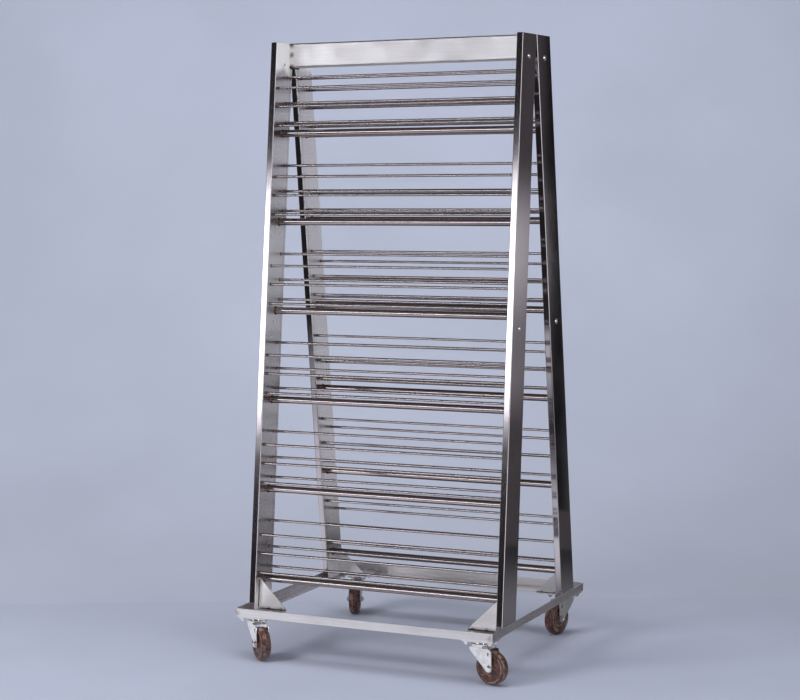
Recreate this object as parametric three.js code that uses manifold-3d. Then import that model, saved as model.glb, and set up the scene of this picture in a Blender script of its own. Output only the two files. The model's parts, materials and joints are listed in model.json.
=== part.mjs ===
// Mobile A-frame sheet pan rack: four leaning box posts on an angle-iron base with swivel casters,
// a top beam, and six slanted rod shelves on each long side. Millimetres, +Z up, +X along the shelves,
// -Y towards the front side. The origin lies on the floor under the middle of the rack.
import * as THREE from "three";
import { mergeVertices } from "three/addons/utils/BufferGeometryUtils.js";
import Module from "manifold-3d";

const wasm = await Module();
wasm.setup();

// ---- Driving dimensions -------------------------------------------------------------------------
const GAP = 0.3; // clearance left between pieces that touch

const BASE_HALF_X = 422.5; // outside of the side legs
const BASE_HALF_Y = 375; // outside of the front and rear legs
const BASE_BOTTOM = 128; // underside of the angle flanges above the floor
const LEG_HEIGHT = 26;
const SHEET = 2.5; // wall of the angle rails
const FLANGE_LONG = 80; // flange of the front and rear rails
const FLANGE_SIDE = 40; // flange of the side rails

const POST_OUT_X = BASE_HALF_X - SHEET - GAP; // outer side face of a post
const POST_WIDTH = 20; // across X
const POST_DEPTH = 106; // along Y, measured level
const POST_WALL = 2;
const POST_CORNER = 2.5;
const POST_TOP = 1872;
const POST_FOOT = BASE_BOTTOM + SHEET + GAP;
const LEAN = 0.1087; // how far a post moves towards the middle per millimetre of height
const LEAN_REF_Z = 153.4;
const LEAN_REF_Y = 295; // outer edge of a post at the reference height
const CLEAR_HALF_X = POST_OUT_X - POST_WIDTH; // inner side face of a post

const BEAM_HEIGHT = 75;
const BEAM_THICK = 56;
const BEAM_WALL = 3;
const BEAM_CORNER = 5;

const SHELF_LEVELS = 6;
const SHELF_FIRST_Z = 219.8; // centre of the lowest support tube
const SHELF_PITCH = 274.2;
const TUBE_RADIUS = 11;
const TUBE_WALL = 1.5;
const TUBE_INSET = 59.5; // behind the outer edge of the post
const ROD_RADIUS = 4;
const OUTER_ROD_INSET = 20.7;
const INNER_ROD_INSET = 77.2;
const OUTER_ROD_RISE = [23.8, 83, 139.8]; // above the support tube
const INNER_ROD_RISE = [33.5, 94.2, 174.1];
const ROD_HOLE_RADIUS = 5; // six-sided hole that clears the rod
const ROD_HALF_LENGTH = 406; // rods run through the inner post wall
const ANCHOR_THICK = 2.5; // hidden plate that ties the rod ends inside a post
const ANCHOR_MARGIN = 7;

const CORNER_PLATE = 4;
const CORNER_PLATE_IN_X = 302;
const CORNER_PLATE_IN_Y = 270;
const PLATE_TOP = BASE_BOTTOM + SHEET + GAP + CORNER_PLATE;
const GUSSET_WIDTH = 100;
const GUSSET_HEIGHT = 95;
const GUSSET_THICK = 3;
const GUSSET_INSET = 23;

const CLAMP_BOLT_Z = [1008, 1805];
const CLAMP_HEAD_RADIUS = 7;
const CLAMP_HEAD_RISE = 3.2;
const CLAMP_END_RADIUS = 4.5;

const CASTER_X = 370;
const CASTER_Y = 336;
const CASTER_PLATE = [100, 66, 4];
const CASTER_BOLTS = [37.5, 20]; // half spacing along X and Y
const NUT_RADIUS = 7.5;
const NUT_HEIGHT = 6.5;
const DOME_RADIUS = 6;
const HEAD_HEIGHT = 5;
const WHEEL_RADIUS = 50;
const WHEEL_HALF_WIDTH = 15;
const TRAIL = 40;
const AXLE_RADIUS = 5;
const FORK_INNER = 17.5; // inner face of a fork leg from the middle of the wheel
const FORK_SHEET = 3;
const CROWN_BOTTOM = 105;
const RACE_TOP = 116.4;
const RACE_RADIUS = 29;
const SWIVEL_DEGREES = { front_left: -40, front_right: -13, rear_right: 256, rear_left: 289 };

// ---- Materials ----------------------------------------------------------------------------------
const finish = (color, metalness, roughness) =>
  new THREE.MeshStandardMaterial({ color, metalness, roughness });
const POLISHED = finish(0xb9bcc0, 1.0, 0.18);
const BRUSHED = finish(0xc6c7c9, 1.0, 0.38);
const ZINC = finish(0xaeb2b4, 1.0, 0.3);
const PHENOLIC = finish(0x5d3a33, 0.0, 0.55);

// ---- Small helpers ------------------------------------------------------------------------------
function solid(geometry) {
  geometry.deleteAttribute("normal");
  geometry.deleteAttribute("uv");
  const merged = mergeVertices(geometry, 1e-3);
  const mesh = new wasm.Mesh({
    numProp: 3,
    vertProperties: new Float32Array(merged.attributes.position.array),
    triVerts: new Uint32Array(merged.index.array),
  });
  return new wasm.Manifold(mesh);
}

function unite(pieces) {
  return pieces.reduce((sum, piece) => sum.add(piece));
}

function toMesh(name, body, material) {
  const data = body.getMesh();
  const geometry = new THREE.BufferGeometry();
  geometry.setAttribute("position", new THREE.BufferAttribute(data.vertProperties, 3));
  geometry.setIndex(new THREE.BufferAttribute(data.triVerts, 1));
  geometry.computeVertexNormals();
  const mesh = new THREE.Mesh(geometry, material.clone());
  mesh.name = name;
  return mesh;
}

// A box given by its lower and upper corners; the two may come in any order.
function box(a, b) {
  const size = a.map((v, i) => Math.abs(b[i] - v));
  const middle = a.map((v, i) => (v + b[i]) / 2);
  return solid(new THREE.BoxGeometry(...size).translate(...middle));
}

function rodAlongX(radius, xFrom, xTo, y, z, sides) {
  const length = Math.abs(xTo - xFrom);
  const geometry = new THREE.CylinderGeometry(radius, radius, length, sides);
  geometry.rotateZ(Math.PI / 2);
  return solid(geometry.translate((xFrom + xTo) / 2, y, z));
}

function discAlongZ(radius, zFrom, zTo, x, y, sides) {
  const geometry = new THREE.CylinderGeometry(radius, radius, zTo - zFrom, sides);
  geometry.rotateX(Math.PI / 2);
  return solid(geometry.translate(x, y, (zFrom + zTo) / 2));
}

function outerEdge(z) {
  return LEAN_REF_Y - LEAN * (z - LEAN_REF_Z);
}

// Shears upright geometry drawn with y = inset behind the post's outer edge into the lean of a side.
function leanTo(side, geometry) {
  const shear = new THREE.Matrix4().set(
    1, 0, 0, 0,
    0, -side, -side * LEAN, side * outerEdge(0),
    0, 0, 1, 0,
    0, 0, 0, 1,
  );
  const flat = geometry.index ? geometry.toNonIndexed() : geometry;
  flat.applyMatrix4(shear);
  return side > 0 ? flipped(flat) : flat;
}

function flipped(geometry) {
  const p = geometry.attributes.position.array;
  for (let i = 0; i < p.length; i += 9) {
    for (let k = 0; k < 3; k++) {
      [p[i + 3 + k], p[i + 6 + k]] = [p[i + 6 + k], p[i + 3 + k]];
    }
  }
  return geometry;
}

function leaningBox(side, xFrom, xTo, insetFrom, insetTo, zFrom, zTo) {
  const geometry = new THREE.BoxGeometry(Math.abs(xTo - xFrom), insetTo - insetFrom, zTo - zFrom);
  geometry.translate((xFrom + xTo) / 2, (insetFrom + insetTo) / 2, (zFrom + zTo) / 2);
  return solid(leanTo(side, geometry));
}

function roundedRect(x0, y0, x1, y1, r) {
  const shape = new THREE.Shape();
  shape.moveTo(x0 + r, y0);
  shape.lineTo(x1 - r, y0);
  shape.absarc(x1 - r, y0 + r, r, -Math.PI / 2, 0);
  shape.lineTo(x1, y1 - r);
  shape.absarc(x1 - r, y1 - r, r, 0, Math.PI / 2);
  shape.lineTo(x0 + r, y1);
  shape.absarc(x0 + r, y1 - r, r, Math.PI / 2, Math.PI);
  shape.lineTo(x0, y0 + r);
  shape.absarc(x0 + r, y0 + r, r, Math.PI, Math.PI * 1.5);
  return shape;
}

function extrude(shape, depth, curveSegments) {
  return new THREE.ExtrudeGeometry(shape, { depth, bevelEnabled: false, curveSegments });
}

const CORNERS = [
  { name: "front_left", end: -1, side: -1 },
  { name: "front_right", end: 1, side: -1 },
  { name: "rear_left", end: -1, side: 1 },
  { name: "rear_right", end: 1, side: 1 },
];

function shelfZ(level) {
  return SHELF_FIRST_Z + SHELF_PITCH * (SHELF_LEVELS - level);
}

// Every thin rod of one shelf: inset behind the post's outer edge, and height.
function rodPlaces(level) {
  const z = shelfZ(level);
  const outer = OUTER_ROD_RISE.map((rise) => [OUTER_ROD_INSET, z + rise]);
  const inner = INNER_ROD_RISE.map((rise) => [INNER_ROD_INSET, z + rise]);
  return [...outer, ...inner];
}

// ---- Posts and beam -----------------------------------------------------------------------------
function clampBolt(end, side, z) {
  const y = side * (outerEdge(z) - POST_DEPTH / 2);
  const dome = new THREE.SphereGeometry(CLAMP_HEAD_RADIUS, 10, 6);
  dome.scale(CLAMP_HEAD_RISE / CLAMP_HEAD_RADIUS, 1, 1);
  dome.translate(end * POST_OUT_X, y, z);
  const inner = rodAlongX(CLAMP_END_RADIUS, end * (CLEAR_HALF_X + 1), end * (CLEAR_HALF_X - 1.5), y, z, 6);
  const outside = box([end * POST_OUT_X - end * 1, y - 9, z - 9], [end * (POST_OUT_X + 5), y + 9, z + 9]);
  return solid(dome).intersect(outside).add(inner);
}

function post({ end, side }) {
  const x0 = Math.min(end * POST_OUT_X, end * CLEAR_HALF_X);
  const x1 = x0 + POST_WIDTH;
  const outline = roundedRect(x0, 0, x1, POST_DEPTH, POST_CORNER);
  const w = POST_WALL;
  const shell = extrude(outline, POST_TOP - POST_FOOT, 2).translate(0, 0, POST_FOOT);
  const core = extrude(roundedRect(x0 + w, w, x1 - w, POST_DEPTH - w, 1), POST_TOP, 1).translate(0, 0, -w);
  let body = solid(leanTo(side, shell)).subtract(solid(leanTo(side, core)));
  for (let level = 1; level <= SHELF_LEVELS; level++) {
    for (const [inset, z] of rodPlaces(level)) {
      const y = side * (outerEdge(z) - inset);
      const hole = rodAlongX(ROD_HOLE_RADIUS, end * (CLEAR_HALF_X - 2), end * (CLEAR_HALF_X + 4), y, z, 6);
      body = body.subtract(hole);
    }
  }
  return unite([body, ...CLAMP_BOLT_Z.map((z) => clampBolt(end, side, z))]);
}

function topBeam() {
  const half = BEAM_THICK / 2;
  const length = 2 * (CLEAR_HALF_X - GAP);
  const w = BEAM_WALL;
  const outline = roundedRect(-BEAM_HEIGHT, -half, 0, half, BEAM_CORNER);
  outline.holes.push(roundedRect(-BEAM_HEIGHT + w, -half + w, -w, half - w, 2));
  const geometry = extrude(outline, length, 3);
  geometry.rotateY(Math.PI / 2);
  geometry.translate(-length / 2, 0, POST_TOP - BEAM_HEIGHT);
  return solid(geometry);
}

// ---- Base frame ---------------------------------------------------------------------------------
function longRail(side) {
  const out = side * BASE_HALF_Y;
  const top = BASE_BOTTOM + LEG_HEIGHT;
  const leg = box([-BASE_HALF_X, out, BASE_BOTTOM], [BASE_HALF_X, out - side * SHEET, top]);
  const flange = box(
    [-BASE_HALF_X, out, BASE_BOTTOM],
    [BASE_HALF_X, out - side * FLANGE_LONG, BASE_BOTTOM + SHEET],
  );
  return leg.add(flange);
}

function sideRail(end) {
  const out = end * BASE_HALF_X;
  const top = BASE_BOTTOM + LEG_HEIGHT;
  const legHalf = BASE_HALF_Y - SHEET - GAP;
  const flangeHalf = BASE_HALF_Y - FLANGE_LONG - GAP;
  const upper = box([out, -legHalf, BASE_BOTTOM + SHEET + GAP], [out - end * SHEET, legHalf, top]);
  const lower = box([out, -flangeHalf, BASE_BOTTOM], [out - end * SHEET, flangeHalf, top]);
  const flange = box(
    [out, -flangeHalf, BASE_BOTTOM],
    [out - end * FLANGE_SIDE, flangeHalf, BASE_BOTTOM + SHEET],
  );
  return unite([upper, lower, flange]);
}

function casterBoltPlaces({ end, side }) {
  const places = [];
  for (const i of [-1, 1]) {
    for (const j of [-1, 1]) {
      places.push([end * CASTER_X + i * CASTER_BOLTS[0], side * CASTER_Y + j * CASTER_BOLTS[1]]);
    }
  }
  return places;
}

function cornerPlate(corner) {
  const { end, side } = corner;
  const zBottom = PLATE_TOP - CORNER_PLATE;
  const outY = BASE_HALF_Y - SHEET - GAP;
  const plate = box(
    [end * CORNER_PLATE_IN_X, side * CORNER_PLATE_IN_Y, zBottom],
    [end * POST_OUT_X, side * outY, PLATE_TOP],
  );
  const notch = box(
    [end * (CLEAR_HALF_X - GAP), side * (CORNER_PLATE_IN_Y - 5), zBottom - 1],
    [end * (POST_OUT_X + 5), side * (outerEdge(zBottom) + GAP), PLATE_TOP + 1],
  );
  const heads = casterBoltPlaces(corner).map(([x, y]) =>
    discAlongZ(NUT_RADIUS, PLATE_TOP - 0.5, PLATE_TOP + HEAD_HEIGHT, x, y, 6),
  );
  return unite([plate.subtract(notch), ...heads]);
}

function gusset({ end, side }) {
  const bottom = PLATE_TOP + GAP;
  const x0 = end * (CLEAR_HALF_X - GAP);
  const shape = new THREE.Shape();
  shape.moveTo(x0, bottom);
  shape.lineTo(x0 - end * GUSSET_WIDTH, bottom);
  shape.lineTo(x0, bottom + GUSSET_HEIGHT);
  const geometry = extrude(shape, GUSSET_THICK, 1);
  geometry.rotateX(Math.PI / 2);
  geometry.translate(0, GUSSET_INSET + GUSSET_THICK, 0);
  return solid(leanTo(side, geometry));
}

// ---- Shelves ------------------------------------------------------------------------------------
function shelfTube(side, level) {
  const z = shelfZ(level);
  const y = side * (outerEdge(z) - TUBE_INSET);
  const half = CLEAR_HALF_X - GAP;
  const outer = rodAlongX(TUBE_RADIUS, -half, half, y, z, 16);
  const bore = rodAlongX(TUBE_RADIUS - TUBE_WALL, -half - 1, half + 1, y, z, 16);
  return outer.subtract(bore);
}

function shelfRods(side, level) {
  const places = rodPlaces(level);
  const heights = places.map(([, z]) => z);
  const zFrom = Math.min(...heights) - ANCHOR_MARGIN;
  const zTo = Math.max(...heights) + ANCHOR_MARGIN;
  const pieces = places.map(([inset, z]) =>
    rodAlongX(ROD_RADIUS, -ROD_HALF_LENGTH, ROD_HALF_LENGTH, side * (outerEdge(z) - inset), z, 8),
  );
  for (const end of [-1, 1]) {
    const near = end * (ROD_HALF_LENGTH - 1);
    const far = near + end * ANCHOR_THICK;
    const insets = [OUTER_ROD_INSET - ANCHOR_MARGIN, INNER_ROD_INSET + ANCHOR_MARGIN];
    pieces.push(leaningBox(side, near, far, insets[0], insets[1], zFrom, zTo));
  }
  return unite(pieces);
}

// ---- Casters: drawn with the swivel axis on Z and the wheel trailing along +X ---------------------
function nutWithDome(x, y) {
  const top = BASE_BOTTOM - GAP - CASTER_PLATE[2];
  const nut = discAlongZ(NUT_RADIUS, top - NUT_HEIGHT, top + 0.5, x, y, 6);
  const dome = new THREE.SphereGeometry(DOME_RADIUS, 8, 5);
  dome.translate(x, y, top - NUT_HEIGHT);
  return nut.add(solid(dome));
}

function casterPlate(corner) {
  const { end, side } = corner;
  const [lengthX, lengthY, thick] = CASTER_PLATE;
  const x = end * CASTER_X;
  const y = side * CASTER_Y;
  const top = BASE_BOTTOM - GAP;
  const plate = box([x - lengthX / 2, y - lengthY / 2, top - thick], [x + lengthX / 2, y + lengthY / 2, top]);
  const race = discAlongZ(RACE_RADIUS - 2, RACE_TOP + GAP, top - thick + 0.5, x, y, 24);
  return unite([plate, race, ...casterBoltPlaces(corner).map(([bx, by]) => nutWithDome(bx, by))]);
}

function forkLeg(sign) {
  const shape = new THREE.Shape();
  shape.moveTo(-26, CROWN_BOTTOM + FORK_SHEET);
  shape.lineTo(-26, CROWN_BOTTOM - 8);
  shape.lineTo(TRAIL - 12, WHEEL_RADIUS - 5);
  shape.lineTo(TRAIL - 6, WHEEL_RADIUS - 10);
  shape.lineTo(TRAIL + 6, WHEEL_RADIUS - 10);
  shape.lineTo(TRAIL + 11, WHEEL_RADIUS - 5);
  shape.lineTo(TRAIL + 11, CROWN_BOTTOM - 4);
  shape.lineTo(TRAIL - 2, CROWN_BOTTOM + FORK_SHEET);
  const axleHole = new THREE.Path();
  axleHole.absarc(TRAIL, WHEEL_RADIUS, AXLE_RADIUS + GAP, 0, Math.PI * 2, true);
  const slot = new THREE.Path();
  slot.moveTo(TRAIL - 2.5, WHEEL_RADIUS + 36);
  slot.lineTo(TRAIL - 2.5, WHEEL_RADIUS + 46);
  slot.lineTo(TRAIL + 2.5, WHEEL_RADIUS + 46);
  slot.lineTo(TRAIL + 2.5, WHEEL_RADIUS + 36);
  shape.holes.push(axleHole, slot);
  const geometry = extrude(shape, FORK_SHEET, 8);
  geometry.rotateX(Math.PI / 2);
  geometry.translate(0, sign > 0 ? FORK_INNER + FORK_SHEET : -FORK_INNER, 0);
  return solid(geometry);
}

function fork() {
  const outer = FORK_INNER + FORK_SHEET;
  const crown = box([-26, -outer, CROWN_BOTTOM], [TRAIL - 2, outer, CROWN_BOTTOM + FORK_SHEET]);
  const race = discAlongZ(RACE_RADIUS, CROWN_BOTTOM + 1, RACE_TOP, 0, 0, 24);
  const kingNut = discAlongZ(8.5, CROWN_BOTTOM - 8, CROWN_BOTTOM + 1, 0, 0, 6);
  return unite([crown, race, kingNut, forkLeg(-1), forkLeg(1)]);
}

function wheel() {
  const r = WHEEL_RADIUS;
  const w = WHEEL_HALF_WIDTH;
  const bore = AXLE_RADIUS + GAP;
  const half = [
    [bore, w + 1.5],
    [13, w + 1.5],
    [14, w - 3.5],
    [35, w - 3.5],
    [37, w],
    [r - 5, w],
    [r - 1.6, w - 1.6],
    [r, w - 5],
  ];
  const profile = [
    ...half.map(([radius, y]) => new THREE.Vector2(radius, -y)),
    ...half.reverse().map(([radius, y]) => new THREE.Vector2(radius, y)),
  ];
  profile.push(profile[0].clone());
  return solid(new THREE.LatheGeometry(profile, 24).translate(TRAIL, 0, WHEEL_RADIUS));
}

function axle() {
  const reach = FORK_INNER + FORK_SHEET + GAP;
  const along = (radius, from, to, sides) => {
    const geometry = new THREE.CylinderGeometry(radius, radius, to - from, sides);
    return solid(geometry.translate(TRAIL, (from + to) / 2, WHEEL_RADIUS));
  };
  return unite([
    along(AXLE_RADIUS, -reach - 1, reach + 9, 12),
    along(8.5, -reach - 6, -reach, 6),
    along(8.5, reach, reach + 7, 6),
  ]);
}

function turned(body, corner) {
  const place = new THREE.Matrix4().makeRotationZ((SWIVEL_DEGREES[corner.name] * Math.PI) / 180);
  place.setPosition(corner.end * CASTER_X, corner.side * CASTER_Y, 0);
  return body.transform(place.elements);
}

// ---- Assembly -----------------------------------------------------------------------------------
const group = new THREE.Group();
group.name = "sheet_pan_rack";
const place = (name, body, material) => group.add(toMesh(name, body, material));

for (const corner of CORNERS) {
  place("post_" + corner.name, post(corner), POLISHED);
  place("corner_plate_" + corner.name, cornerPlate(corner), BRUSHED);
  place("gusset_" + corner.name, gusset(corner), BRUSHED);
  place("caster_plate_" + corner.name, casterPlate(corner), ZINC);
  place("caster_fork_" + corner.name, turned(fork(), corner), ZINC);
  place("caster_wheel_" + corner.name, turned(wheel(), corner), PHENOLIC);
  place("caster_axle_" + corner.name, turned(axle(), corner), ZINC);
}
place("top_beam", topBeam(), BRUSHED);
place("base_rail_front", longRail(-1), BRUSHED);
place("base_rail_rear", longRail(1), BRUSHED);
place("base_rail_left", sideRail(-1), BRUSHED);
place("base_rail_right", sideRail(1), BRUSHED);
for (const [word, side] of [["front", -1], ["rear", 1]]) {
  for (let level = 1; level <= SHELF_LEVELS; level++) {
    place("shelf_tube_" + word + "_" + level, shelfTube(side, level), POLISHED);
    place("shelf_rods_" + word + "_" + level, shelfRods(side, level), POLISHED);
  }
}

// The swivelled casters reach past the base, so the origin is centred under the whole outline.
const outline = new THREE.Box3().setFromObject(group);
const middle = outline.getCenter(new THREE.Vector3());
group.position.set(-middle.x, -middle.y, -outline.min.z);

export default group;
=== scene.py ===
"""Looks of a mobile A-frame pan rack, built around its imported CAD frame. Lengths in the code are in
millimetres from the rack's own middle unless a name ends in _M; meshes are written in metres."""

import json
import math

import bmesh
import bpy
from mathutils import Matrix, Vector, noise


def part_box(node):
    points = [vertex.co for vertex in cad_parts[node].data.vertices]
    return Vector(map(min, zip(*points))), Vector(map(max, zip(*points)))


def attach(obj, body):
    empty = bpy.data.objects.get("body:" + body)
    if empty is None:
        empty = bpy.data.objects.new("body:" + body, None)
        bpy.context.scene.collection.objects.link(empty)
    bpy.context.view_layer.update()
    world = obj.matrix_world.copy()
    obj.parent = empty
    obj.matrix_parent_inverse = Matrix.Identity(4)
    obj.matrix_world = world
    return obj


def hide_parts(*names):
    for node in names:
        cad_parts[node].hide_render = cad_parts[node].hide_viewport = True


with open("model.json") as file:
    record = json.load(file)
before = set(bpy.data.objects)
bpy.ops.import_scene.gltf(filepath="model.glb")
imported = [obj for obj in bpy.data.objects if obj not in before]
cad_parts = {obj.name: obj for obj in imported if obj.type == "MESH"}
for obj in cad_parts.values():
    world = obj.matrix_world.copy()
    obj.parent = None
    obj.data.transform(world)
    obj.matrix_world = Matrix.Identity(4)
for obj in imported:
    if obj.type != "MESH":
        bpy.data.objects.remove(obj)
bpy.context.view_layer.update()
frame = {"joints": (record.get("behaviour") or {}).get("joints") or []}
scene = bpy.context.scene

MM = 0.001
FRONT, REAR, LEFT, RIGHT = -1, 1, -1, 1
BOTH = (-1, 1)
SIDES = (("front", FRONT), ("rear", REAR))
ENDS = (("left", LEFT), ("right", RIGHT))

# ---- Places read from the CAD frame ----
long_low, long_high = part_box("base_rail_front")
side_low, side_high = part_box("base_rail_left")
MIDDLE_M = Vector(((long_low.x + long_high.x) / 2, (side_low.y + side_high.y) / 2, 0.0))


def local(point):
    """A place of the frame, in metres, as millimetres from the rack's middle."""
    return (Vector(point) - MIDDLE_M) / MM


def local_box(node):
    low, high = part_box(node)
    return local(low), local(high)


def joint(name):
    return next(j for j in frame["joints"] if j["name"] == name)


BASE_LOW, BASE_HIGH = local_box("base_rail_front")
BASE_HALF_X = BASE_HIGH.x
BASE_HALF_Y = -BASE_LOW.y
BASE_BOTTOM = BASE_LOW.z
LEG_TOP = BASE_HIGH.z
FLANGE_LONG = BASE_HIGH.y - BASE_LOW.y
SIDE_LOW, SIDE_HIGH = local_box("base_rail_left")
FLANGE_SIDE = SIDE_HIGH.x - SIDE_LOW.x
SIDE_HALF_Y = SIDE_HIGH.y
POST_OUT = local_box("corner_plate_rear_right")[1].x
BEAM_LOW, BEAM_HIGH = local_box("top_beam")
GAP = 0.3
POST_IN = BEAM_HIGH.x + GAP
POST_TOP = local_box("post_front_left")[1].z
SHEET = 2.5
FLANGE_TOP = BASE_BOTTOM + SHEET
PLATE_THICK = 4.0
PLATE_TOP = FLANGE_TOP + GAP + PLATE_THICK

# ---- Design sizes shared with the CAD ----
POST_DEPTH = 106.0
POST_FOOT = FLANGE_TOP + GAP
POST_CORNER = 2.5
LEAN = 0.1087
LEAN_REF_Z = 153.4
LEAN_REF_Y = 295.0
OUTER_ROD_INSET = 20.7
INNER_ROD_INSET = 77.2
OUTER_ROD_RISE = (23.8, 83.0, 139.8)
INNER_ROD_RISE = (33.5, 94.2, 174.1)
ROD_RADIUS = 4.0
SHELF_LEVELS = range(1, 7)
GUSSET_INSET = 23.0
GUSSET_THICK = 3.0
CLAMP_BOLT_Z = (("middle", 1008.0), ("top", 1805.0))
CASTER_BOLTS = (37.5, 20.0)
CROWN_BOTTOM = 105.0
RACE_TOP = 116.4
FORK_INNER = 17.5
FORK_SHEET = 3.0
FORK_OUTER = FORK_INNER + FORK_SHEET
FORK_BACK = -26.0

# ---- Sizes of the details ----
BEAM_CORNER = 5.0
BEAM_WALL = 3.0
BASE_CORNER = 7.0
TUBE_WALL = 1.5
SEAM_INSET = 12.0
SEAM_HALF_WIDTH = 0.35
OFF_WALL = 0.02
CASTER_PLATE_THICK = 4.0
NUT_RADIUS = 7.4
AXLE_NUT_RADIUS = 8.4
WHEEL_HALF_WIDTH = 15.0


def outer_edge(z):
    """Distance from the middle of the rack to the outer edge of the posts at a height."""
    return LEAN_REF_Y - LEAN * (z - LEAN_REF_Z)


# ---- Node helpers ----
MIX_FACTOR, MIX_A, MIX_B, MIX_RESULT = 0, 6, 7, 2
NOISE_LOW, NOISE_HIGH = 0.3, 0.7


class Nodes:
    """Makes shader nodes, with each input given as a value or as another node's output."""

    def __init__(self, tree):
        self.tree = tree

    def put(self, socket, value):
        if isinstance(value, bpy.types.NodeSocket):
            self.tree.links.new(value, socket)
        else:
            socket.default_value = value

    def add(self, kind, inputs=None, **settings):
        node = self.tree.nodes.new("ShaderNode" + kind)
        for key, value in settings.items():
            setattr(node, key, value)
        for key, value in (inputs or {}).items():
            self.put(node.inputs[key], value)
        return node

    def coordinate(self, kind="Object"):
        return self.add("TexCoord").outputs[kind]

    def split(self, vector):
        return self.add("SeparateXYZ", {0: vector}).outputs

    def math(self, operation, a, b=0.0, c=0.0):
        return self.add("Math", {0: a, 1: b, 2: c}, operation=operation).outputs[0]

    def times(self, a, b):
        return self.math("MULTIPLY", a, b)

    def measure(self, operation, a, b=(0.0, 0.0, 0.0)):
        """One number from vectors, such as their distance."""
        return self.add("VectorMath", {0: a, 1: b}, operation=operation).outputs["Value"]

    def ramp(self, value, low, high, to_low=0.0, to_high=1.0, kind="SMOOTHSTEP"):
        inputs = {
            "Value": value, "From Min": low, "From Max": high,
            "To Min": to_low, "To Max": to_high,
        }
        return self.add("MapRange", inputs, interpolation_type=kind).outputs[0]

    def over_noise(self, value, to_low, to_high):
        """Maps the usual range of a noise to another range."""
        return self.ramp(value, NOISE_LOW, NOISE_HIGH, to_low, to_high, "LINEAR")

    def mix(self, factor, a, b, blend="MIX"):
        inputs = {MIX_FACTOR: factor, MIX_A: a, MIX_B: b}
        node = self.add("Mix", inputs, data_type="RGBA", blend_type=blend)
        return node.outputs[MIX_RESULT]

    def shaded(self, color, shade):
        """A colour made darker or lighter by one value."""
        grey = self.add("CombineColor", {0: shade, 1: shade, 2: shade}).outputs[0]
        return self.mix(1.0, color, grey, "MULTIPLY")

    def noise(self, vector, scale, detail=3.0, roughness=0.55, stretch=(1, 1, 1), distortion=0.0):
        mapped = self.add("Mapping", {"Vector": vector, "Scale": stretch}).outputs[0]
        inputs = {
            "Vector": mapped, "Scale": scale, "Detail": detail,
            "Roughness": roughness, "Distortion": distortion,
        }
        return self.add("TexNoise", inputs).outputs[0]

    def bump(self, height, strength, distance, normal=None):
        inputs = {"Height": height, "Strength": strength, "Distance": distance}
        if normal is not None:
            inputs["Normal"] = normal
        return self.add("Bump", inputs).outputs[0]

    def camera_ray(self):
        return self.add("LightPath").outputs["Is Camera Ray"]


def rgb(red, green, blue):
    return (red, green, blue, 1.0)


def new_material(name):
    material = bpy.data.materials.new(name)
    material.use_nodes = True
    nodes = Nodes(material.node_tree)
    shader = material.node_tree.nodes["Principled BSDF"]
    return material, nodes, shader


def wire(nodes, shader, **inputs):
    """Sets the shader's inputs, whose names are written with _ for each space."""
    for key, value in inputs.items():
        nodes.put(shader.inputs[key.replace("_", " ")], value)


# ---- Materials of the rack: pattern scales are in cycles per metre ----
BRUSH_ACROSS = 1.0
BRUSH_ALONG = 0.012
GRAIN = {
    "X": (BRUSH_ALONG, BRUSH_ACROSS, BRUSH_ACROSS),
    "Y": (BRUSH_ACROSS, BRUSH_ALONG, BRUSH_ACROSS),
}
FINE_GRAIN = 1400.0
FINE_SHARE = 0.6
COARSE_GRAIN = 260.0
COARSE_SHARE = 0.4
CLOUDS = 9.0
SLOW_WAVES = 3.0
WAVE_DEPTH_M = 0.004
BRUSH_DEPTH_M = 0.0002
TINT_ROUGHNESS = 0.22
TINT_BROWN = rgb(0.13, 0.062, 0.042)
TINT_STRAW = rgb(0.40, 0.28, 0.20)
# Colour of the painted shade along the tops and undersides of rods and tubes.
PAINTED_SHADE_TINT = rgb(0.13, 0.10, 0.10)


def steel(name, color, roughness, grain, brush, wave=0.0, smudge=0.2, tint=None, uv=False,
          contrast=1.0, finish=None, painted_shade_share=0.0):
    """Stainless steel: fine brushed grain along one axis, cloudy smudges in the gloss, slow waves in
    the surface, and an optional heat tint given as a function of (nodes, where) -> 0..1."""
    material, n, shader = new_material(name)
    where = n.coordinate("UV" if uv else "Object")
    fine = n.noise(where, FINE_GRAIN, 2.0, 0.6, GRAIN[grain])
    coarse = n.noise(where, COARSE_GRAIN, 3.0, 0.6, GRAIN[grain])
    cloud = n.noise(where, CLOUDS, 4.0, 0.6)
    lines = n.math("MULTIPLY_ADD", fine, FINE_SHARE, n.times(coarse, COARSE_SHARE))
    shade = n.over_noise(lines, 1 - 0.14 * contrast, 1 + 0.08 * contrast)
    base = n.shaded(color, n.times(shade, n.over_noise(cloud, 0.93, 1.05)))
    rough = n.ramp(cloud, 0.3, 0.75, roughness * (1 - smudge), roughness * (1 + smudge), "LINEAR")
    spread = 0.3 * contrast * roughness
    rough = n.math("MULTIPLY_ADD", lines, spread, n.math("ADD", rough, -spread / 2))
    # Painted shade: tops and undersides of rods and tubes are darkened and browned to stand in for
    # dark reflections.
    if painted_shade_share:
        base = n.mix(n.times(painted_shade_mask(n), painted_shade_share), base, PAINTED_SHADE_TINT)
    if tint is not None:
        mask = tint(n, where)
        hue = n.mix(n.noise(where, 160.0, 2.0), TINT_BROWN, TINT_STRAW)
        base = n.mix(mask, base, hue)
        rough = n.math("MULTIPLY_ADD", mask, TINT_ROUGHNESS, rough)
    normal = None
    if wave:
        normal = n.bump(n.noise(where, SLOW_WAVES, 1.0, 0.4), wave, WAVE_DEPTH_M)
    normal = n.bump(lines, brush, BRUSH_DEPTH_M, normal)
    wire(n, shader, Base_Color=base, Metallic=1.0, Roughness=rough, Normal=normal)
    if finish is not None:
        finish(n, shader)
    return material


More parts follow.
